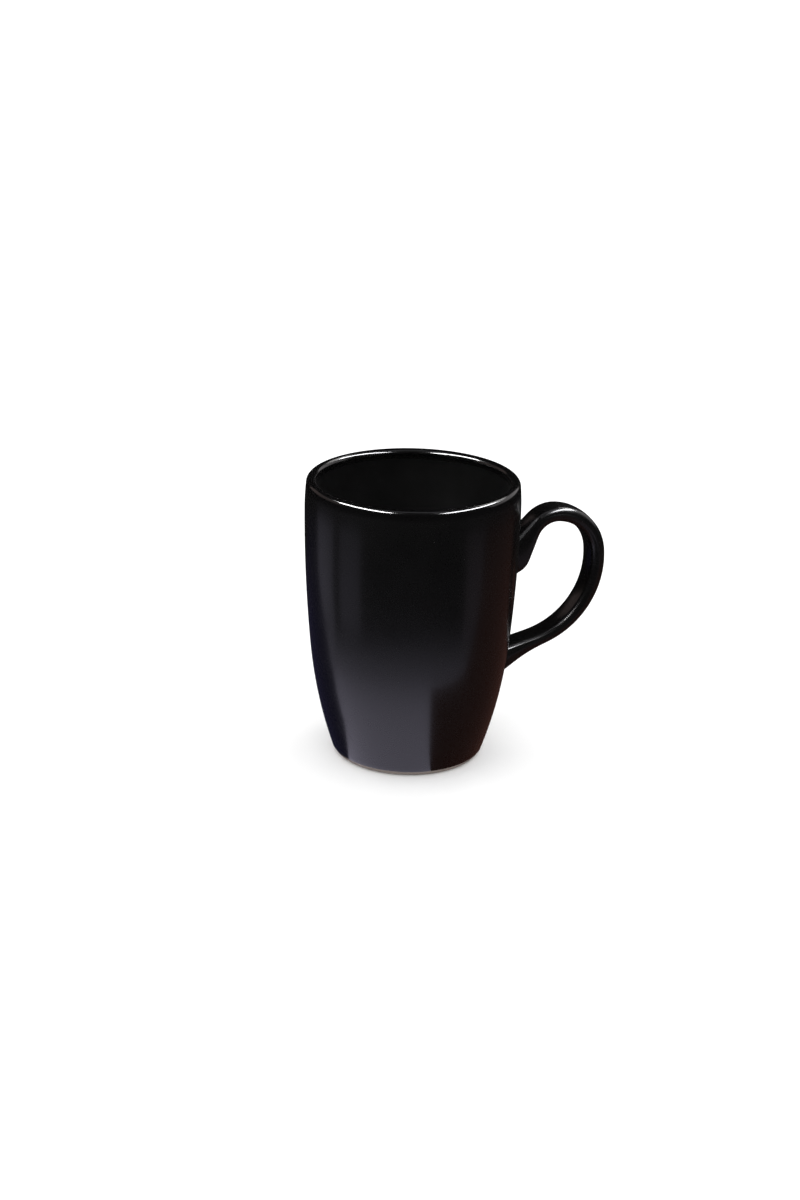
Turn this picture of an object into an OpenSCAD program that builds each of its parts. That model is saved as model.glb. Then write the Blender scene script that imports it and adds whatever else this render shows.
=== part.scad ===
// Tall barrel-sided coffee mug with an ear-shaped strap handle.
//
// A fired clay body and a fired clay handle, joined by two beds of luting slip
// and covered by three coats of glaze. The foot ring is left bare.
//
// The origin is the middle of the foot, on the table. +Z is up, the handle
// points along +X, and its loop lies in the XZ plane. Sizes are in mm.

/* [Body] */

// Height from the table to the crown of the lip
height = 110.4; // [92:0.1:134]
// Widest outside diameter of the clay
belly_diameter = 81.4; // [67:0.1:98]
// How far the wall draws in from the belly to the lip
rim_drop = 0.5; // [0.3:0.1:1.2]
// Share of the belly's diameter that the wall would have on the table
foot_share = 0.7; // [0.66:0.01:0.76]
// Share of the wall's height at which it is widest
belly_level = 0.91; // [0.84:0.01:0.94]
// Lean of the wall at the table, from upright
foot_lean = 19.2; // [15:0.1:23]
// Lean of the wall where its upper and lower arcs meet
waist_lean = 5.4; // [4:0.1:7]
// Thickness of the wall and of the full-round lip
wall = 3.2; // [2.4:0.1:4]
// Thickness of the floor above the foot recess
floor_thickness = 4.6; // [3:0.1:7]
// Radius between the inside wall and the floor
floor_radius = 12; // [6:0.5:16]

/* [Foot] */

// Width of the flat ring the mug stands on
foot_ring = 3.2; // [2:0.1:5]
// Depth of the recess inside the ring
foot_recess = 1.6; // [0.8:0.1:2.6]
// Radius of the outer edge of the foot
foot_radius = 2; // [1:0.1:3]
// Height of the bare clay left under the glaze
bare_foot = 1.2; // [0.6:0.1:3]

/* [Handle] */

// Width of the strap, across the loop
strap_width = 10.4; // [8:0.1:14]
// Thickness of the strap, in the plane of the loop
strap_thickness = 5.2; // [4.6:0.1:6.4]
// Radius along the strap's four edges
strap_edge = 2; // [1:0.1:2.2]
// Extra width of the strap where it meets the wall
root_flare = 2; // [0:0.1:4]
// Share of the height at which the strap's top edge leaves the wall
root_level = 0.752; // [0.72:0.002:0.77]
// Length of the strap's straight start, from the wall to the crown
root_run = 11; // [9.4:0.1:13]
// Length of the web that runs down the wall under the crown
root_web = 10.4; // [8:0.1:12.6]
// Radius of the web's lower end
web_tip = 7; // [5:0.1:8]
// Outside radius of the loop over its crown
crown_radius = 13.6; // [12:0.1:16.4]
// Outside radius of the loop down its far side
side_radius = 20.8; // [18:0.1:25]
// Outside radius of the loop under the fingers
palm_radius = 35; // [31:0.1:40]
// Extra radius of the loop's inside edge under the fingers
palm_opening = 1; // [0:0.1:1.6]
// Radius of the flare under the lower root
lower_flare = 70; // [58:1:90]

/* [Slip and glaze] */

// Thickness of the luting slip under each root
slip = 0.5; // [0.4:0.05:0.8]
// Thickness of the glaze
glaze = 0.35; // [0.2:0.05:0.4]

/* [Hidden] */

$fn = 180;

clay_color = [0.34, 0.29, 0.26];
slip_color = [0.42, 0.36, 0.32];
glaze_color = [0.07, 0.07, 0.08];

// The outside wall is three tangent arcs, each [middle r, middle z, radius].
// The rim arc and the upper arc meet upright at the belly.
lip_radius = wall / 2;
wall_top = height - lip_radius;
belly_r = belly_diameter / 2;
belly_z = belly_level * wall_top;
rim_rise = wall_top - belly_z;
rim_arc_radius = (rim_rise * rim_rise + rim_drop * rim_drop) / (2 * rim_drop);
rim_lean = asin(rim_rise / rim_arc_radius);
rim_arc = [belly_r - rim_arc_radius, belly_z, rim_arc_radius];

// The upper and lower arcs share a tangent at the waist, and the lower one ends
// on the table. Their radii solve the rise and the run between those leans.
foot_drop = belly_r * (1 - foot_share);
lean_rise = sin(foot_lean) - sin(waist_lean);
lean_run = cos(waist_lean) - cos(foot_lean);
waist_run = 1 - cos(waist_lean);
arc_split = sin(waist_lean) * lean_run - lean_rise * waist_run;
upper_arc_radius = (belly_z * lean_run - lean_rise * foot_drop) / arc_split;
lower_arc_radius = (sin(waist_lean) * foot_drop - belly_z * waist_run) / arc_split;
upper_arc = [belly_r - upper_arc_radius, belly_z, upper_arc_radius];
lower_arc = [
    upper_arc[0] + (upper_arc_radius - lower_arc_radius) * cos(waist_lean),
    upper_arc[1] - (upper_arc_radius - lower_arc_radius) * sin(waist_lean),
    lower_arc_radius,
];

// Middle of the lip, on the middle line of the wall
lip_r = rim_arc[0] + (rim_arc_radius - lip_radius) * cos(rim_lean);
lip_z = rim_arc[1] + (rim_arc_radius - lip_radius) * sin(rim_lean);

// The floor, and the corner arcs that round the foot and the inside corner
floor_z = foot_recess + floor_thickness;
foot_corner = corner(0, foot_radius, 0);
floor_corner = corner(floor_z, floor_radius, wall);

// Side view of the loop. Its two rails are the strap's outer and inner edges,
// listed as [radius, turn, steps] for an arc and [length, 0, steps] for a line.
bury = 3;
climb = 46;
crown_turn = 50;
side_turn = 78;
palm_turn = 78;
palm_turn_inside = 84;
web_lean = 70;
lower_turn = 12;
inner_crown = crown_radius - strap_thickness;
outer_run = root_run + bury / cos(climb);
outer_start = [belly_r - bury, root_level * height - bury * tan(climb), climb];
crown_middle = [
    outer_start[0] + outer_run * cos(climb) + crown_radius * sin(climb),
    outer_start[1] + outer_run * sin(climb) - crown_radius * cos(climb),
];
web_bottom = [
    crown_middle[0] - (inner_crown + web_tip) * sin(web_lean) - root_web * cos(web_lean),
    crown_middle[1] + (inner_crown + web_tip) * cos(web_lean)
        - root_web * sin(web_lean) - web_tip,
];
inner_start = [outer_start[0], web_bottom[1], 0];

outer_rail = walk(outer_start, [
    [outer_run, 0, 14],
    [crown_radius, crown_turn, 8],
    [side_radius, side_turn, 12],
    [palm_radius, palm_turn, 12],
    [lower_flare, -lower_turn, 6],
    [4 * bury, 0, 2],
]);
inner_rail = walk(inner_start, [
    [web_bottom[0] - inner_start[0], 0, 2],
    [web_tip, -web_lean, 8],
    [root_web, 0, 4],
    [inner_crown, web_lean + crown_turn - climb, 8],
    [side_radius - strap_thickness, side_turn, 12],
    [palm_radius - strap_thickness + palm_opening, palm_turn_inside, 12],
    [18, 0, 8],
]);

// Points around each corner of the strap's section
corner_steps = 5;
section_points = 4 * (corner_steps + 1);

// [r, z, lean] of a corner arc between a flat at height z and the lower wall
// arc taken inwards by the given depth.
function corner(z, radius, depth) =
    let (reach = lower_arc[2] - depth - radius, fall = lower_arc[1] - z - radius)
    [lower_arc[0] + sqrt(reach * reach - fall * fall), z + radius, asin(fall / reach)];

// Where a rail has got to, a share of the way along one of its pieces.
function advance(pose, piece, share) =
    piece[1] == 0
        ? [
            pose[0] + piece[0] * share * cos(pose[2]),
            pose[1] + piece[0] * share * sin(pose[2]),
            pose[2],
        ]
        : let (radius = sign(piece[1]) * piece[0], heading = pose[2] - piece[1] * share)
        [
            pose[0] + radius * (sin(pose[2]) - sin(heading)),
            pose[1] - radius * (cos(pose[2]) - cos(heading)),
            heading,
        ];

// Every point of a rail, piece after piece.
function walk(pose, pieces, i = 0) =
    i == len(pieces)
        ? [[pose[0], pose[1]]]
        : concat(
            [
                for (k = [0:pieces[i][2] - 1])
                    let (p = advance(pose, pieces[i], k / pieces[i][2])) [p[0], p[1]]
            ],
            walk(advance(pose, pieces[i], 1), pieces, i + 1)
        );

// Extra width of the strap at a distance r from the mug's axis.
function flare(r) =
    let (s = min(max((r - belly_r + 4) / 12, 0), 1)) root_flare * pow(1 - s, 2);

// One ring of the strap: a rounded rectangle between the rails, grown outwards.
function ring(outer, inner, grow) =
    let (
        middle = (outer + inner) / 2,
        across = (outer - inner) / norm(outer - inner),
        half = norm(outer - inner) / 2 - strap_edge,
        side = (strap_width + flare(middle[0])) / 2 - strap_edge
    )
    [
        for (q = [0:3], k = [0:corner_steps])
            let (
                turn = 90 * (q + k / corner_steps),
                u = (q == 0 || q == 3 ? half : -half) + (strap_edge + grow) * cos(turn),
                y = (q < 2 ? side : -side) + (strap_edge + grow) * sin(turn)
            )
            [middle[0] + u * across[0], y, middle[1] + u * across[1]]
    ];

// The strap's whole loop, grown outwards, with both ends inside the wall.
module loop(grow = 0) {
    rings = [for (i = [0:len(outer_rail) - 1]) ring(outer_rail[i], inner_rail[i], grow)];
    last = (len(rings) - 1) * section_points;
    polyhedron(
        points = [for (points = rings) each points],
        faces = concat(
            [[for (k = [0:section_points - 1]) section_points - 1 - k]],
            [for (i = [0:len(rings) - 2], k = [0:section_points - 1])
                let (
                    a = i * section_points + k,
                    b = i * section_points + (k + 1) % section_points
                )
                each [
                    [a, b, a + section_points],
                    [b, b + section_points, a + section_points],
                ]
            ],
            [[for (k = [0:section_points - 1]) last + k]]
        )
    );
}

// A wedge that starts at the middle of an arc, between two leans of the wall.
// A lean is measured down from level, so the rim has a negative one.
module wedge(arc, from_lean, to_lean, far) {
    translate([arc[0], arc[1]])
    polygon([
        [0, 0],
        [far * cos(to_lean), -far * sin(to_lean)],
        [far * cos(from_lean), -far * sin(from_lean)],
    ]);
}

// What an arc of the given radius leaves outside it in that wedge.
module arc_waste(arc, radius, from_lean, to_lean, far) {
    difference() {
        wedge(arc, from_lean, to_lean, far);
        translate([arc[0], arc[1]]) circle(r = radius);
    }
}

// Half of the mug's outside, filled to its axis, moved outwards by grow.
// The rim arc and the lower arc lie inside the upper one and are cut from it.
module wall_side(grow = 0) {
    far = 4 * height + upper_arc[2];
    difference() {
        intersection() {
            translate([upper_arc[0], upper_arc[1]]) circle(r = upper_arc[2] + grow);
            square([2 * belly_diameter, 2 * height]);
        }
        wedge(rim_arc, -80, -rim_lean, far);
        arc_waste(rim_arc, rim_arc[2] + grow, -rim_lean - 5, 0, far);
        arc_waste(lower_arc, lower_arc[2] + grow, waist_lean, foot_lean + 10, far);
    }
}

// Half of the outside with its foot rounded, and half of the inside space.
module outside(grow = 0) {
    difference() {
        wall_side(grow);
        arc_waste(foot_corner, foot_radius + grow, foot_corner[2], 90, 9 * foot_radius);
    }
}

module inside(grow = 0) {
    difference() {
        wall_side(-wall - grow);
        square([belly_diameter, floor_z + grow]);
        arc_waste(floor_corner, floor_radius - grow, floor_corner[2], 90, 3 * floor_radius);
    }
}

module lip(grow = 0) {
    translate([lip_r, lip_z]) circle(r = lip_radius + grow);
}

module foot_recess_side() {
    ring_in = foot_corner[0] - foot_ring;
    polygon([
        [0, -1], [ring_in + 0.5, -1], [ring_in, 0],
        [ring_in - foot_recess, foot_recess], [0, foot_recess],
    ]);
}

// Clay, thrown and turned in one piece with its foot ring
module mug_body() {
    color(clay_color)
    rotate_extrude()
    difference() {
        union() {
            outside();
            lip();
        }
        inside();
        foot_recess_side();
    }
}

// Clay strap, cut to the wall at both ends and seated on the slip
module handle() {
    color(clay_color)
    difference() {
        loop();
        rotate_extrude() outside(slip);
    }
}

// Slip between the wall and the strap, for one of the two roots
module slip_joint(low, high) {
    color(slip_color)
    intersection() {
        loop();
        rotate_extrude() intersection() {
            difference() {
                outside(slip);
                outside();
            }
            translate([0, low]) square([belly_diameter, high - low]);
        }
    }
}

module upper_slip_joint() slip_joint(height / 2, height);

module lower_slip_joint() slip_joint(0, height / 2);

// Outer coat, over the lip and down to the bare foot
module outside_glaze() {
    color(glaze_color)
    difference() {
        rotate_extrude() difference() {
            union() {
                outside(glaze);
                lip(glaze);
            }
            outside();
            lip();
            square([belly_diameter, bare_foot]);
        }
        loop();
    }
}

// Inner coat, from the lip down and across the floor
module inside_glaze() {
    color(glaze_color)
    rotate_extrude() difference() {
        inside();
        inside(glaze);
    }
}

// Coat over the strap, from one root to the other
module handle_glaze() {
    color(glaze_color)
    difference() {
        difference() {
            loop(glaze);
            rotate_extrude() outside(glaze);
        }
        loop();
    }
}

mug_body();
handle();
upper_slip_joint();
lower_slip_joint();
outside_glaze();
inside_glaze();
handle_glaze();
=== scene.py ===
import math

import bmesh
import bpy
import numpy as np
from mathutils import Matrix, Vector


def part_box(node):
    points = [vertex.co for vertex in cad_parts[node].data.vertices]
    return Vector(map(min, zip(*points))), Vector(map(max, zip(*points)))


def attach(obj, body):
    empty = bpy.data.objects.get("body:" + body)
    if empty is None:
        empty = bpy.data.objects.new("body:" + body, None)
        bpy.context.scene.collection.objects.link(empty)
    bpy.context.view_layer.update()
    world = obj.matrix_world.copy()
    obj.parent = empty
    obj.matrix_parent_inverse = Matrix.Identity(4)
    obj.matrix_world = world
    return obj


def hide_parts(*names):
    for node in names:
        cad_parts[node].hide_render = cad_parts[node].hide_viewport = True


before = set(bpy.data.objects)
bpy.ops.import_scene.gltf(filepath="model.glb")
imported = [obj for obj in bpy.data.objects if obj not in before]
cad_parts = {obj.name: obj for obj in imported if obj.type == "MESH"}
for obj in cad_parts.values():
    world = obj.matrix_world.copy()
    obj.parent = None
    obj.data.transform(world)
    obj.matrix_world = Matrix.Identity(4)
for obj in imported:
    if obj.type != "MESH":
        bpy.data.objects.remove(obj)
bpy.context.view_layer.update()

MM = 0.001

# Sizes repeated from the CAD source, in mm and degrees.
HEIGHT, BELLY, RIM_DROP, FOOT_SHARE = 110.4, 81.4, 0.5, 0.7
BELLY_LEVEL, FOOT_LEAN, WAIST_LEAN = 0.91, 19.2, 5.4
WALL, FLOOR, FLOOR_RADIUS = 3.2, 4.6, 12.0
FOOT_RING, RECESS, FOOT_RADIUS, BARE_FOOT = 3.2, 1.6, 2.0, 1.2
STRAP_WIDTH, STRAP_THICK, STRAP_EDGE, ROOT_FLARE = 10.4, 5.2, 2.0, 2.0
ROOT_LEVEL, ROOT_RUN, ROOT_WEB, WEB_TIP = 0.752, 11.0, 10.4, 7.0
CROWN_R, SIDE_R, PALM_R, PALM_OPENING, LOWER_FLARE = 13.6, 20.8, 35.0, 1.0, 70.0
GLAZE = 0.35


def sin(a):
    return math.sin(math.radians(a))


def cos(a):
    return math.cos(math.radians(a))


# ---------------------------------------------------------------- wall form
LIP = WALL / 2
WALL_TOP = HEIGHT - LIP
BELLY_R, BELLY_Z = BELLY / 2, BELLY_LEVEL * WALL_TOP
RIM_RISE = WALL_TOP - BELLY_Z
RIM_ARC_R = (RIM_RISE**2 + RIM_DROP**2) / (2 * RIM_DROP)
RIM_LEAN = math.degrees(math.asin(RIM_RISE / RIM_ARC_R))

# The upper and lower arcs share a tangent at the waist. Their radii solve the
# rise and the run from the belly to the table.
foot_drop = BELLY_R * (1 - FOOT_SHARE)
lean_rise = sin(FOOT_LEAN) - sin(WAIST_LEAN)
lean_run = cos(WAIST_LEAN) - cos(FOOT_LEAN)
waist_run = 1 - cos(WAIST_LEAN)
arc_split = sin(WAIST_LEAN) * lean_run - lean_rise * waist_run
UPPER_R = (BELLY_Z * lean_run - lean_rise * foot_drop) / arc_split
LOWER_R = (sin(WAIST_LEAN) * foot_drop - BELLY_Z * waist_run) / arc_split
RIM_C = (BELLY_R - RIM_ARC_R, BELLY_Z)
UPPER_C = (BELLY_R - UPPER_R, BELLY_Z)
LOWER_C = (
    UPPER_C[0] + (UPPER_R - LOWER_R) * cos(WAIST_LEAN),
    UPPER_C[1] - (UPPER_R - LOWER_R) * sin(WAIST_LEAN),
)
LIP_C = (
    RIM_C[0] + (RIM_ARC_R - LIP) * cos(RIM_LEAN),
    RIM_C[1] + (RIM_ARC_R - LIP) * sin(RIM_LEAN),
)
FLOOR_Z = RECESS + FLOOR


def corner(z, radius, depth):
    """(r, z, lean) of a corner arc between a flat at z and the lower wall arc."""
    reach, fall = LOWER_R - depth - radius, LOWER_C[1] - z - radius
    return (
        LOWER_C[0] + math.sqrt(reach**2 - fall**2),
        z + radius,
        math.degrees(math.asin(fall / reach)),
    )


FOOT_C = corner(0, FOOT_RADIUS, 0)
FLOOR_C = corner(FLOOR_Z, FLOOR_RADIUS, WALL)


def arc(centre, radius, first, last, count):
    """Points of an arc, with angles measured down from level."""
    return [
        (centre[0] + radius * cos(a), centre[1] - radius * sin(a))
        for a in np.linspace(first, last, count)
    ]


def wall_up(off, low=None):
    """The outside wall from its foot to the lip, moved outwards by off."""
    low = FOOT_C[2] if low is None else low
    return (
        arc(LOWER_C, LOWER_R + off, low, WAIST_LEAN, 26)
        + arc(UPPER_C, UPPER_R + off, WAIST_LEAN, 0, 26)[1:]
        + arc(RIM_C, RIM_ARC_R + off, 0, -RIM_LEAN, 9)[1:]
    )


def lip_over(off, count=25):
    """The lip's half round, between the ends of the two walls."""
    return arc(LIP_C, LIP + off, -RIM_LEAN, -180 - RIM_LEAN, count)[1:-1]


def wall_down(off):
    """The inside wall from the lip to the middle of the floor, off inwards."""
    return (
        arc(RIM_C, RIM_ARC_R - WALL - off, -RIM_LEAN, 0, 9)
        + arc(UPPER_C, UPPER_R - WALL - off, 0, WAIST_LEAN, 26)[1:]
        + arc(LOWER_C, LOWER_R - WALL - off, WAIST_LEAN, FLOOR_C[2], 20)[1:]
        + arc(FLOOR_C, FLOOR_RADIUS - off, FLOOR_C[2], 90, 15)[1:]
        + [(r, FLOOR_Z + off) for r in (14.0, 10.0, 6.0, 2.0, 0.0)]
    )


def wall_radius(z, off):
    """Outside radius of the wall at height z (mm)."""
    if z > BELLY_Z:
        c, r = RIM_C, RIM_ARC_R
    elif z > LOWER_C[1] - (LOWER_R + off) * sin(WAIST_LEAN):
        c, r = UPPER_C, UPPER_R
    else:
        c, r = LOWER_C, LOWER_R
    return c[0] + math.sqrt((r + off) ** 2 - (z - c[1]) ** 2)


# ------------------------------------------------------------- mesh helpers
SHARP = 35   # edges keener than this, in degrees, stay crisp


def mesh_object(name, verts, faces, sharp=SHARP):
    """A smooth-shaded object from points in mm."""
    me = bpy.data.meshes.new(name)
    me.from_pydata([tuple(c * MM for c in v) for v in verts], [], faces)
    me.validate()
    me.shade_smooth()
    me.set_sharp_from_angle(angle=math.radians(sharp))
    ob = bpy.data.objects.new(name, me)
    bpy.context.collection.objects.link(ob)
    return ob


def revolve(name, profile, closed, n=288):
    """A profile of (r, z) turned round Z, as a ring of it if closed."""
    verts, rows = [], []
    for r, z in profile:
        if r < 1e-6:
            rows.append([len(verts)] * n)
            verts.append((0, 0, z))
        else:
            rows.append(list(range(len(verts), len(verts) + n)))
            verts += [
                (r * math.cos(2 * math.pi * k / n), r * math.sin(2 * math.pi * k / n), z)
                for k in range(n)
            ]
    faces = []
    count = len(rows)
    for i in range(count if closed else count - 1):
        a, b = rows[i], rows[(i + 1) % count]
        for k in range(n):
            m = (k + 1) % n
            quad = [a[k], a[m], b[m], b[k]]
            loop = [v for j, v in enumerate(quad) if v != quad[j - 1]]
            if len(loop) > 2:
                faces.append(loop)
    return mesh_object(name, verts, faces)


def close_boundary(ob):
    """Bridges the two open edges of a coat, if it has them."""
    bm = bmesh.new()
    bm.from_mesh(ob.data)
    edges = [e for e in bm.edges if e.is_boundary]
    if edges:
        bmesh.ops.bridge_loops(bm, edges=edges)
    bmesh.ops.recalc_face_normals(bm, faces=bm.faces)
    bm.to_mesh(ob.data)
    bm.free()
    ob.data.shade_smooth()
    ob.data.set_sharp_from_angle(angle=math.radians(SHARP))


# ------------------------------------------------------------ clay and coats
RING_IN = FOOT_C[0] - FOOT_RING
# the recess under the foot with its edges softened, then the flat ring
foot_profile = [
    (0, RECESS),
    (RING_IN - RECESS - 1.2, RECESS),
    (RING_IN - RECESS - 0.4, RECESS - 0.08),
    (RING_IN - RECESS + 0.1, RECESS - 0.4),
    (RING_IN - 0.5, 0.42),
    (RING_IN - 0.12, 0.08),
    (RING_IN + 0.25, 0.0),
    (RING_IN + 1.4, 0.0),
    (FOOT_C[0] - 0.4, 0.0),
]
clay_profile = (
    foot_profile
    + arc(FOOT_C, FOOT_RADIUS, 90, FOOT_C[2], 9)[:-1]
    + wall_up(0)
    + lip_over(0)
    + wall_down(0)
)
body = revolve("mug_body_clay", clay_profile, False)

# The outer coat ends in a rounded bead above the bare foot.
BEAD_LIFT = 0.9   # how far the bead sits above the glaze line
edge_z = BARE_FOOT + GLAZE / 2 + BEAD_LIFT
coat_low = math.degrees(math.asin((LOWER_C[1] - edge_z) / LOWER_R))
bead_c = (
    LOWER_C[0] + (LOWER_R + GLAZE / 2) * cos(coat_low),
    LOWER_C[1] - (LOWER_R + GLAZE / 2) * sin(coat_low),
)
coat_profile = (
    arc(bead_c, GLAZE / 2, coat_low + 180, coat_low, 7)[:-1]
    + wall_up(GLAZE, coat_low)
    + lip_over(GLAZE, 33)
    + wall_down(GLAZE)[:1]
    + wall_down(0)[:1]
    + lip_over(0, 17)[::-1]
    + wall_up(0, coat_low)[::-1][:-1]
)
outside = revolve("outside_glaze_coat", coat_profile, True)

inside = revolve("inside_glaze_coat", wall_down(GLAZE) + wall_down(0)[::-1], False)
close_boundary(inside)


# ------------------------------------------------------------------- handle
# Side view of the loop as an outer and an inner rail. Each is a start and then
# pieces of (radius, turn, steps), or (length, 0, steps) for a straight one.
def advance(pose, piece, share):
    """Where a rail has got to, a share of the way along a piece."""
    x, z, h = pose
    size, turn = piece[0], piece[1]
    if turn == 0:
        return (x + size * share * cos(h), z + size * share * sin(h), h)
    r = math.copysign(size, turn)
    g = h - turn * share
    return (x + r * (sin(h) - sin(g)), z - r * (cos(h) - cos(g)), g)


def walk(pose, pieces):
    """Every point of a rail, piece after piece."""
    points = []
    for piece in pieces:
        n = piece[2] * FINE
        points += [advance(pose, piece, k / n)[:2] for k in range(n)]
        pose = advance(pose, piece, 1)
    return np.array(points + [pose[:2]])


CLIMB, CROWN_TURN, SIDE_TURN, PALM_TURN, PALM_TURN_INSIDE = 46, 50, 78, 78, 84
WEB_LEAN, LOWER_TURN, BURY, INNER_END = 70, 12, 3, 18
FINE = 4         # points for each step of a rail
SMOOTHING = 8    # passes that soften a rail's changes of curvature
inner_crown = CROWN_R - STRAP_THICK
outer_run = ROOT_RUN + BURY / cos(CLIMB)
start = (BELLY_R - BURY, ROOT_LEVEL * HEIGHT - BURY * sin(CLIMB) / cos(CLIMB), CLIMB)
crown_c = (
    start[0] + outer_run * cos(CLIMB) + CROWN_R * sin(CLIMB),
    start[1] + outer_run * sin(CLIMB) - CROWN_R * cos(CLIMB),
)
web_low = (
    crown_c[0] - (inner_crown + WEB_TIP) * sin(WEB_LEAN) - ROOT_WEB * cos(WEB_LEAN),
    crown_c[1] + (inner_crown + WEB_TIP) * cos(WEB_LEAN) - ROOT_WEB * sin(WEB_LEAN) - WEB_TIP,
)
outer_rail = walk(
    start,
    [
        (outer_run, 0, 14),
        (CROWN_R, CROWN_TURN, 8),
        (SIDE_R, SIDE_TURN, 12),
        (PALM_R, PALM_TURN, 12),
        (LOWER_FLARE, -LOWER_TURN, 6),
        (4 * BURY, 0, 2),
    ],
)
inner_rail = walk(
    (start[0], web_low[1], 0),
    [
        (web_low[0] - start[0], 0, 2),
        (WEB_TIP, -WEB_LEAN, 8),
        (ROOT_WEB, 0, 4),
        (inner_crown, WEB_LEAN + CROWN_TURN - CLIMB, 8),
        (SIDE_R - STRAP_THICK, SIDE_TURN, 12),
        (PALM_R - STRAP_THICK + PALM_OPENING, PALM_TURN_INSIDE, 12),
        (INNER_END, 0, 8),
    ],
)


def smooth_rail(rail):
    """Softens the changes of curvature where a rail's arcs meet."""
    rail = rail.copy()
    for _ in range(SMOOTHING):
        rail[1:-1] += 0.5 * ((rail[:-2] + rail[2:]) / 2 - rail[1:-1])
    return rail


outer_rail, inner_rail = smooth_rail(outer_rail), smooth_rail(inner_rail)

CORNER_POINTS, FLAT_POINTS, CROWNING = 9, 5, 0.22
COLUMNS = 4 * (CORNER_POINTS + FLAT_POINTS)


def section(half_u, half_y, edge):
    """A rounded rectangle with slightly crowned faces, as (u, y) points."""
    points = []
    # the corners in clockwise order: the signs of u and y, and the first angle
    for q, (su, sy, first) in enumerate(((1, 1, 90), (1, -1, 0), (-1, -1, -90), (-1, 1, -180))):
        cu, cy = su * (half_u - edge), sy * (half_y - edge)
        for turn in np.linspace(first, first - 90, CORNER_POINTS):
            points.append((cu + edge * cos(turn), cy + edge * sin(turn)))
        end = points[-1]
        on_u = q % 2 == 0
        other = (end[0], -end[1]) if on_u else (-end[0], end[1])
        for k in range(1, FLAT_POINTS + 1):
            s = k / (FLAT_POINTS + 1)
            swell = CROWNING * (1 - (2 * s - 1) ** 2)
            u, y = end[0] + (other[0] - end[0]) * s, end[1] + (other[1] - end[1]) * s
            points.append((u + (su * swell if on_u else 0), y + (0 if on_u else sy * swell)))
    return points


def loop_columns(grow):
    """The strap as COLUMNS lines along it, each of len(rail) points (mm)."""
    middle = (outer_rail + inner_rail) / 2
    across = outer_rail - inner_rail
    length = np.linalg.norm(across, axis=1)
    across = across / length[:, None]
    near = np.clip((middle[:, 0] - BELLY_R + 4) / 12, 0, 1)
    half_y = (STRAP_WIDTH + ROOT_FLARE * (1 - near) ** 2) / 2 + grow
    out = np.zeros((COLUMNS, len(middle), 3))
    for i in range(len(middle)):
        for j, (u, y) in enumerate(section(length[i] / 2 + grow, half_y[i], STRAP_EDGE + grow)):
            out[j, i] = (middle[i, 0] + u * across[i, 0], y, middle[i, 1] + u * across[i, 1])
    return out


def clearance(p, off):
    """How far a point is outside the wall."""
    return math.hypot(p[0], p[1]) - wall_radius(p[2], off)


def at(line, t):
    """The point of a line at an index with its fraction."""
    i = min(int(t), len(line) - 2)
    return line[i] + (line[i + 1] - line[i]) * (t - i)


def crossing(line, off, from_start):
    """Index, with its fraction, where a line comes out of the wall."""
    order = range(len(line) - 1) if from_start else range(len(line) - 2, -1, -1)
    for i in order:
        a, b = clearance(line[i], off), clearance(line[i + 1], off)
        if (a <= 0) != (b <= 0):
            return i + a / (a - b)
    raise ValueError("strap misses the wall")


def back_off(line, t, distance, way):
    """The place a distance along the line from t, forwards or backwards."""
    stride = 0.05
    here, gone = at(line, t), 0.0
    while gone < distance:
        t += way * stride
        p = at(line, t)
        gone += np.linalg.norm(p - here)
        here = p
    return t


def on_wall(p, off, gap):
    """A point moved straight out or in, to stand a gap off the wall."""
    r = wall_radius(p[2], off) + gap
    k = r / math.hypot(p[0], p[1])
    return np.array([p[0] * k, p[1] * k, p[2]])


def wall_normal(p, off):
    """The wall's outward direction at a point on it."""
    d = 0.05
    slope = (wall_radius(p[2] + d, off) - wall_radius(p[2] - d, off)) / (2 * d)
    n = np.array([p[0], p[1], 0.0]) / math.hypot(p[0], p[1])
    n[2] = -slope
    return n / np.linalg.norm(n)


def fillet_legs(out, upper):
    """How far a fillet runs up the strap and along the wall."""
    down = max(0.0, -out[2])
    if upper:
        return 1.8 + 1.8 * down**2, 1.5 + 4.0 * down**3
    return 1.8 + 0.6 * down**2, 1.5 + 1.2 * down**2


FILLET_SINK = 0.03   # how far a fillet's foot sinks into the coat on the wall


def strap_surface(grow, off, fillets, rows=170, steps=10):
    """Rings of the strap from wall to wall, rounded into it by fillets."""
    lines = loop_columns(grow)
    centre = lines.mean(axis=0)
    columns = []
    for line in lines:
        ends = []
        for upper in (True, False):
            t = crossing(line, off, upper)
            hit = at(line, t)
            normal = wall_normal(hit, off)
            out = hit - at(centre, t)
            out -= normal * (out @ normal)
            out /= np.linalg.norm(out)
            begin, curve = t, []
            if fillets:
                up_strap, up_wall = fillet_legs(out, upper)
                begin = back_off(line, t, up_strap, 1 if upper else -1)
                for turn in np.linspace(0, 90, steps + 1)[1:]:
                    share = 1 - sin(turn)
                    p = at(line, t + (begin - t) * share)
                    gap = max(clearance(p, off), 0) - (FILLET_SINK if turn == 90 else 0)
                    curve.append(on_wall(p + out * up_wall * (1 - cos(turn)), off, gap))
            ends.append((begin, curve))
        (t0, up), (t1, low) = ends
        middle = [at(line, t) for t in np.linspace(t0, t1, rows)]
        columns.append(up[::-1] + middle + low)
    return np.array(columns).transpose(1, 0, 2)


def band(ring_a, ring_b, flip):
    """Faces between two rings of COLUMNS points, given their first points."""
    faces = []
    for j in range(COLUMNS):
        m = (j + 1) % COLUMNS
        quad = [ring_a + j, ring_a + m, ring_b + m, ring_b + j]
        faces.append(quad[::-1] if flip else quad)
    return faces


def tube_faces(count, base, flip):
    """Faces of a tube of count rings, from its first point."""
    rings = [base + i * COLUMNS for i in range(count)]
    return [face for a, b in zip(rings, rings[1:]) for face in band(a, b, flip)]


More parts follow.
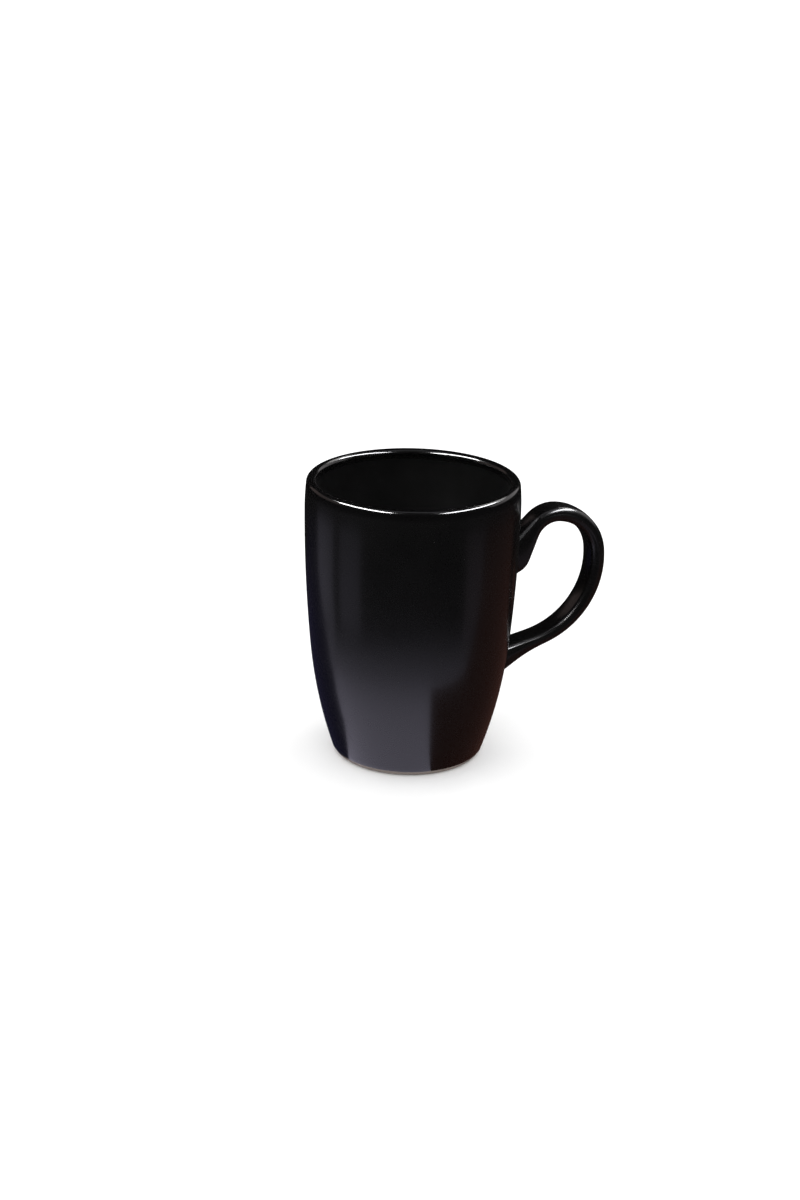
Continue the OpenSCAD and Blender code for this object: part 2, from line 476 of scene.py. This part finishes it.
skin = strap_surface(GLAZE, GLAZE, True)
core = strap_surface(0.0, GLAZE, False)
verts = [tuple(v) for ring in skin for v in ring] + [tuple(v) for ring in core for v in ring]
base = len(skin) * COLUMNS
faces = (
    tube_faces(len(skin), 0, False)
    + tube_faces(len(core), base, True)
    + band(0, base, True)
    + band(base - COLUMNS, base + (len(core) - 1) * COLUMNS, False)
)
handle = mesh_object("handle_glaze_coat", verts, faces, 50)
close_boundary(handle)


# ---------------------------------------------------------------- materials
def sock(node, name, value):
    node.inputs[name].default_value = value


class Mat:
    """A Principled material with object-space coordinates and a small kit."""

    def __init__(self, name):
        self.mat = bpy.data.materials.new(name)
        self.mat.use_nodes = True
        self.tree = self.mat.node_tree
        self.tree.nodes.clear()
        self.out = self.add("ShaderNodeOutputMaterial")
        self.bsdf = self.add("ShaderNodeBsdfPrincipled")
        self.link(self.bsdf.outputs[0], self.out.inputs[0])
        self.where = self.add("ShaderNodeTexCoord").outputs["Object"]

    def add(self, kind, **facts):
        node = self.tree.nodes.new(kind)
        for k, v in facts.items():
            setattr(node, k, v)
        return node

    def link(self, a, b):
        self.tree.links.new(a, b)

    def noise(self, scale, detail=2.0, rough=0.5):
        node = self.add("ShaderNodeTexNoise")
        sock(node, "Scale", scale)
        sock(node, "Detail", detail)
        sock(node, "Roughness", rough)
        self.link(self.where, node.inputs["Vector"])
        return node.outputs["Fac"]

    def cells(self, scale, width):
        """Small round spots: 1 at the middle of each, 0 beyond width."""
        node = self.add("ShaderNodeTexVoronoi")
        sock(node, "Scale", scale)
        self.link(self.where, node.inputs["Vector"])
        return self.ramp(node.outputs["Distance"], [(0, 1), (width, 0)])

    def ramp(self, src, stops):
        """Grey from one place and value to another."""
        node = self.add("ShaderNodeValToRGB")
        for element, (place, value) in zip(node.color_ramp.elements, stops):
            element.position = place
            element.color = (value, value, value, 1)
        self.link(src, node.inputs[0])
        return node.outputs[0]

    def math(self, op, a, b):
        node = self.add("ShaderNodeMath", operation=op)
        for i, v in enumerate((a, b)):
            if isinstance(v, (int, float)):
                node.inputs[i].default_value = v
            else:
                self.link(v, node.inputs[i])
        return node.outputs[0]

    def mix(self, fac, a, b):
        node = self.add("ShaderNodeMix", data_type="RGBA")
        for i, v in ((0, fac), (6, a), (7, b)):
            if isinstance(v, tuple):
                node.inputs[i].default_value = (*v, 1)
            elif isinstance(v, (int, float)):
                node.inputs[i].default_value = v
            else:
                self.link(v, node.inputs[i])
        return node.outputs[2]

    def span(self, src, start, end, low, high):
        """A smooth step from low at start to high at end, both in mm."""
        node = self.add("ShaderNodeMapRange", interpolation_type="SMOOTHSTEP")
        for key, value in (
            ("From Min", start * MM),
            ("From Max", end * MM),
            ("To Min", low),
            ("To Max", high),
        ):
            sock(node, key, value)
        self.link(src, node.inputs["Value"])
        return node.outputs[0]

    def bump(self, src, depth, strength, under=None):
        node = self.add("ShaderNodeBump")
        sock(node, "Distance", depth)
        sock(node, "Strength", strength)
        self.link(src, node.inputs["Height"])
        if under:
            self.link(under, node.inputs["Normal"])
        return node.outputs[0]


PIN_COLOUR = (0.10, 0.095, 0.09)


def glaze(name, dark, pale, rough, cloud_scale, lip=False):
    """Black satin glaze: cloudy colour, orange peel, fine grain, pinholes."""
    m = Mat(name)
    cloud = m.noise(28 * cloud_scale, 3)
    grain = m.noise(2600, 2, 0.6)
    peel = m.noise(420, 2, 0.5)
    patches = m.ramp(m.noise(90, 1), [(0.52, 0), (0.58, 1)])
    specks = m.math("MULTIPLY", m.cells(300, 0.05), patches)
    colour = m.mix(cloud, dark, pale)
    colour = m.mix(m.math("MULTIPLY", specks, 0.5), colour, PIN_COLOUR)
    m.link(colour, m.bsdf.inputs["Base Color"])
    r = m.math("ADD", m.math("MULTIPLY", m.noise(75, 3), 0.10), rough - 0.05)
    r = m.math("ADD", r, m.math("MULTIPLY", grain, 0.06))
    if lip:
        # thinner and glossier where the glaze has drawn back over the lip
        split = m.add("ShaderNodeSeparateXYZ")
        m.link(m.where, split.inputs[0])
        thin = m.span(split.outputs[2], HEIGHT - 4.5, HEIGHT - 1.5, 1.0, 0.5)
        r = m.math("MULTIPLY", r, thin)
    m.link(r, m.bsdf.inputs["Roughness"])
    n = m.bump(peel, 0.00004, 0.35)
    n = m.bump(grain, 0.00001, 0.5, n)
    m.link(n, m.bsdf.inputs["Normal"])
    sock(m.bsdf, "IOR", 1.5)
    sock(m.bsdf, "Coat Weight", 0.3)
    sock(m.bsdf, "Coat Roughness", 0.14)
    sock(m.bsdf, "Coat IOR", 1.5)
    return m.mat


def clay(name, dark, pale, fleck, grain_depth):
    """Fired stoneware: dry, sandy, with iron flecks."""
    m = Mat(name)
    cloud = m.noise(45, 4)
    sand = m.noise(1500, 3, 0.65)
    flecks = m.cells(420, 0.16)
    colour = m.mix(cloud, dark, pale)
    colour = m.mix(m.math("MULTIPLY", sand, 0.35), colour, pale)
    colour = m.mix(m.math("MULTIPLY", flecks, 0.8), colour, fleck)
    m.link(colour, m.bsdf.inputs["Base Color"])
    m.link(m.ramp(sand, [(0.3, 0.95), (0.7, 0.74)]), m.bsdf.inputs["Roughness"])
    n = m.bump(sand, grain_depth, 0.7)
    n = m.bump(m.noise(260, 2), grain_depth * 2, 0.4, n)
    m.link(n, m.bsdf.inputs["Normal"])
    sock(m.bsdf, "Specular IOR Level", 0.3)
    return m.mat


FLECK = (0.035, 0.024, 0.018)
coat_out = glaze(
    "black_satin_glaze_outside", (0.0012, 0.0012, 0.0013), (0.0026, 0.0024, 0.0026), 0.24, 1.0, True
)
coat_in = glaze(
    "black_satin_glaze_inside", (0.0014, 0.0013, 0.0013), (0.0028, 0.0025, 0.0025), 0.30, 1.3, True
)
coat_grip = glaze(
    "black_satin_glaze_handle", (0.0014, 0.0013, 0.0014), (0.0030, 0.0027, 0.0028), 0.22, 0.8
)
bare = clay("dark_stoneware", (0.15, 0.125, 0.11), (0.24, 0.205, 0.185), FLECK, 0.00005)
grip_clay = clay(
    "dark_stoneware_handle", (0.10, 0.078, 0.065), (0.165, 0.132, 0.112), FLECK, 0.00004
)
slip = clay(
    "dark_luting_slip", (0.13, 0.10, 0.083), (0.20, 0.16, 0.135), (0.06, 0.045, 0.036), 0.00002
)


def dress(ob, mat, slot, *replaced):
    """Gives a piece its material; hides the CAD nodes it replaces, if any, and hangs it under the root.
    The slot argument is not used.
    """
    ob.data.materials.clear()
    ob.data.materials.append(mat)
    if replaced:
        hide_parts(*replaced)
        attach(ob, "root")


dress(body, bare, "clay", "mug_body")
dress(outside, coat_out, "outside_glaze", "outside_glaze")
dress(inside, coat_in, "inside_glaze", "inside_glaze")
dress(handle, coat_grip, "handle_glaze", "handle_glaze")
for node, mat, name in (
    ("handle", grip_clay, "handle_clay"),
    ("upper_slip_joint", slip, "slip"),
    ("lower_slip_joint", slip, "slip"),
):
    dress(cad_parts[node], mat, name)

# ------------------------------------------------------------ floor, camera
low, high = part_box("mug_body")
centre = Vector((0, 0, (low.z + high.z) / 2))
cam_data = bpy.data.cameras.new("camera")
cam = bpy.data.objects.new("camera", cam_data)
bpy.context.collection.objects.link(cam)
bpy.context.scene.camera = cam
LENS, SENSOR, FRAME_HEIGHT = 62.1, 36, 1200
cam_data.sensor_fit = "AUTO"
cam_data.sensor_width = SENSOR
cam_data.lens = LENS
cam_data.clip_start, cam_data.clip_end = 0.01, 20

AZ, EL, ROLL, DISTANCE = 19.0, 21.35, 1.49, 0.8
AIM_RIGHT, AIM_DOWN = 10.1, 14.9   # where the cup's middle lands, off centre
FOCAL = LENS / SENSOR * FRAME_HEIGHT
forward = Vector((sin(AZ) * cos(EL), cos(AZ) * cos(EL), -sin(EL)))
right = Vector((cos(AZ), -sin(AZ), 0))
up = right.cross(forward)
cam.location = centre - forward * DISTANCE
roll = Matrix.Rotation(math.radians(ROLL), 3, "Z")
basis = Matrix((right, up, -forward)).transposed() @ roll
nudge = Matrix.Rotation(math.atan2(AIM_RIGHT, FOCAL), 3, "Y") @ Matrix.Rotation(
    math.atan2(AIM_DOWN, FOCAL), 3, "X"
)
cam.matrix_world = Matrix.Translation(cam.location) @ (basis @ nudge).to_4x4()


REACH = 15000.0   # mm, well past anything that the camera sees
floor = mesh_object(
    "floor",
    [(-REACH, -REACH, 0), (REACH, -REACH, 0), (REACH, REACH, 0), (-REACH, REACH, 0)],
    [(0, 1, 2, 3)],
)
pale = Mat("pale_floor")
sock(pale.bsdf, "Base Color", (0.97, 0.97, 0.97, 1))
sock(pale.bsdf, "Roughness", 1.0)
sock(pale.bsdf, "Specular IOR Level", 0.0)
floor.data.materials.append(pale.mat)
floor.visible_glossy = False

# ------------------------------------------------------------------- lights
# The sky lights the table, is nearly dark in reflections and white to the camera.
world = bpy.data.worlds.new("studio")
bpy.context.scene.world = world
world.use_nodes = True
sky = world.node_tree
sky.nodes.clear()
paths = sky.nodes.new("ShaderNodeLightPath")


def backdrop(colour, strength):
    node = sky.nodes.new("ShaderNodeBackground")
    sock(node, "Color", (*colour, 1))
    sock(node, "Strength", strength)
    return node.outputs[0]


def choose(ray, otherwise, seen):
    """One backdrop for a kind of ray, and another for the rest."""
    node = sky.nodes.new("ShaderNodeMixShader")
    for k, source in enumerate((paths.outputs[ray], otherwise, seen)):
        sky.links.new(source, node.inputs[k])
    return node.outputs[0]


lit = choose("Is Glossy Ray", backdrop((1, 1, 1), 1.36), backdrop((0.9, 0.85, 0.85), 0.012))
sky_out = sky.nodes.new("ShaderNodeOutputWorld")
sky.links.new(choose("Is Camera Ray", lit, backdrop((1, 1, 1), 1.0)), sky_out.inputs[0])


def panel(name, place, aim_height, width, height, power, colour):
    """A soft box at place (mm), facing the mug's axis at a height. The camera
    itself doesn't see it."""
    data = bpy.data.lights.new(name, "AREA")
    data.shape, data.size, data.size_y = "RECTANGLE", width * MM, height * MM
    data.energy, data.color = power, colour
    ob = bpy.data.objects.new(name, data)
    bpy.context.collection.objects.link(ob)
    stand = Vector(place) * MM
    turn = (Vector((0, 0, aim_height)) * MM - stand).to_track_quat("-Z", "Y")
    ob.matrix_world = Matrix.Translation(stand) @ turn.to_matrix().to_4x4()
    ob.visible_camera = False
    return ob


def glint(*facts):
    """A soft box that only shows as a reflection and doesn't light the table."""
    panel(*facts).visible_diffuse = False


def around(bearing, distance, height):
    """A place by its bearing from the camera's line (degrees, + right)."""
    b = math.radians(-90 - AZ + bearing)
    return (distance * math.cos(b), distance * math.sin(b), height)


card_names = []


def card(name, outline, colour, strength, fall, rise=None):
    """A glowing card on the table, seen only in reflections. Its outline is in
    mm to the right of the mug and toward the camera. It comes up to its full
    strength over the distances from the mug's axis in rise, and dies in fall."""
    height = 0.3 + 0.1 * len(card_names)   # one above another, never level
    card_names.append(name)
    ob = mesh_object(
        name,
        [
            (u * cos(AZ) - v * sin(AZ), -u * sin(AZ) - v * cos(AZ), height)
            for u, v in outline
        ],
        [tuple(range(len(outline)))],
    )
    m = Mat(name)
    m.tree.nodes.remove(m.bsdf)
    far = m.add("ShaderNodeVectorMath", operation="LENGTH")
    m.link(m.where, far.inputs[0])
    level = m.span(far.outputs["Value"], *fall, strength, 0)
    if rise:
        level = m.math("MULTIPLY", level, m.span(far.outputs["Value"], *rise, 0, 1))
    glow = m.add("ShaderNodeEmission")
    sock(glow, "Color", (*colour, 1))
    m.link(level, glow.inputs["Strength"])
    clear = m.add("ShaderNodeBsdfTransparent")
    both = m.add("ShaderNodeAddShader")
    m.link(glow.outputs[0], both.inputs[0])
    m.link(clear.outputs[0], both.inputs[1])
    m.link(both.outputs[0], m.out.inputs[0])
    ob.data.materials.append(m.mat)
    ob.visible_camera = ob.visible_diffuse = ob.visible_shadow = False
    ob.visible_transmission = ob.visible_volume_scatter = False


VIOLET, NAVY, WARM, MAUVE = (0.83, 0.79, 1.0), (0.30, 0.26, 1.0), (1.0, 0.36, 0.26), (1.0, 0.82, 1.0)
left_edge = [(0, 12), (-22, 18), (-48, 20), (-96, 10), (-150, -22), (-210, -78), (-318, -140)]
# pale table top all round the front, close to the mug
card(
    "pale_card",
    left_edge[:5] + [(-200, 60), (-160, 200), (0, 220), (160, 200), (220, 60), (150, 50), (90, 58)]
    + [(56, 76), (34, 84), (20, 51), (10, 28)],
    VIOLET, 1.06, (45, 160),
)
# two strips of it far out on the left, and one on the right
card(
    "streak_card",
    left_edge[3:] + [(-440, -200), (-460, 30), (-359, 22), (-223, 14), (-150, 22)],
    VIOLET, 0.34, (200, 480), (90, 170),
)
card(
    "left_card",
    [(-145, 42), (-218, 52), (-360, 78), (-440, 100), (-380, 290), (-300, 232), (-175, 140), (-112, 98)],
    VIOLET, 0.26, (200, 480), (90, 170),
)
card(
    "right_card",
    [(110, 80), (190, 128), (330, 225), (420, 200), (420, 80), (218, 56), (140, 52)],
    MAUVE, 0.13, (200, 480), (90, 150),
)
card("navy_card", left_edge[::-1] + [(-20, -40), (-60, -160), (-260, -260)], NAVY, 0.04, (60, 400))
card(
    "warm_card",
    [(10, 28), (20, 51), (34, 84), (56, 76), (90, 58), (150, 50), (220, 52), (420, 60), (420, -260)]
    + [(120, -160), (30, -30), (24, 10)],
    WARM, 0.073, (150, 500),
)

# soft boxes over the table: a key behind on the right, and five that only
# make the glints on the lip and the strap
panel("key", around(140, 500, 560), 60, 260, 220, 0.5, (1.0, 0.98, 0.96))
glint("overhead_wide", around(0, 120, 900), 60, 1100, 300, 0.5, (0.95, 0.94, 1.0))
glint("lip_left", around(-62, 440, 560), 80, 640, 120, 15.0, (1.0, 0.99, 1.0))
glint("lip_right", around(80, 420, 600), 80, 800, 100, 11.0, (0.97, 0.97, 1.0))
glint("back_left", around(-110, 900, 420), 60, 1100, 420, 0.35, (1.0, 0.78, 0.74))
glint("back_right", around(120, 900, 420), 60, 1100, 420, 1.0, (1.0, 0.95, 0.96))

scene = bpy.context.scene
scene.view_settings.view_transform = "Standard"
scene.view_settings.look = "None"
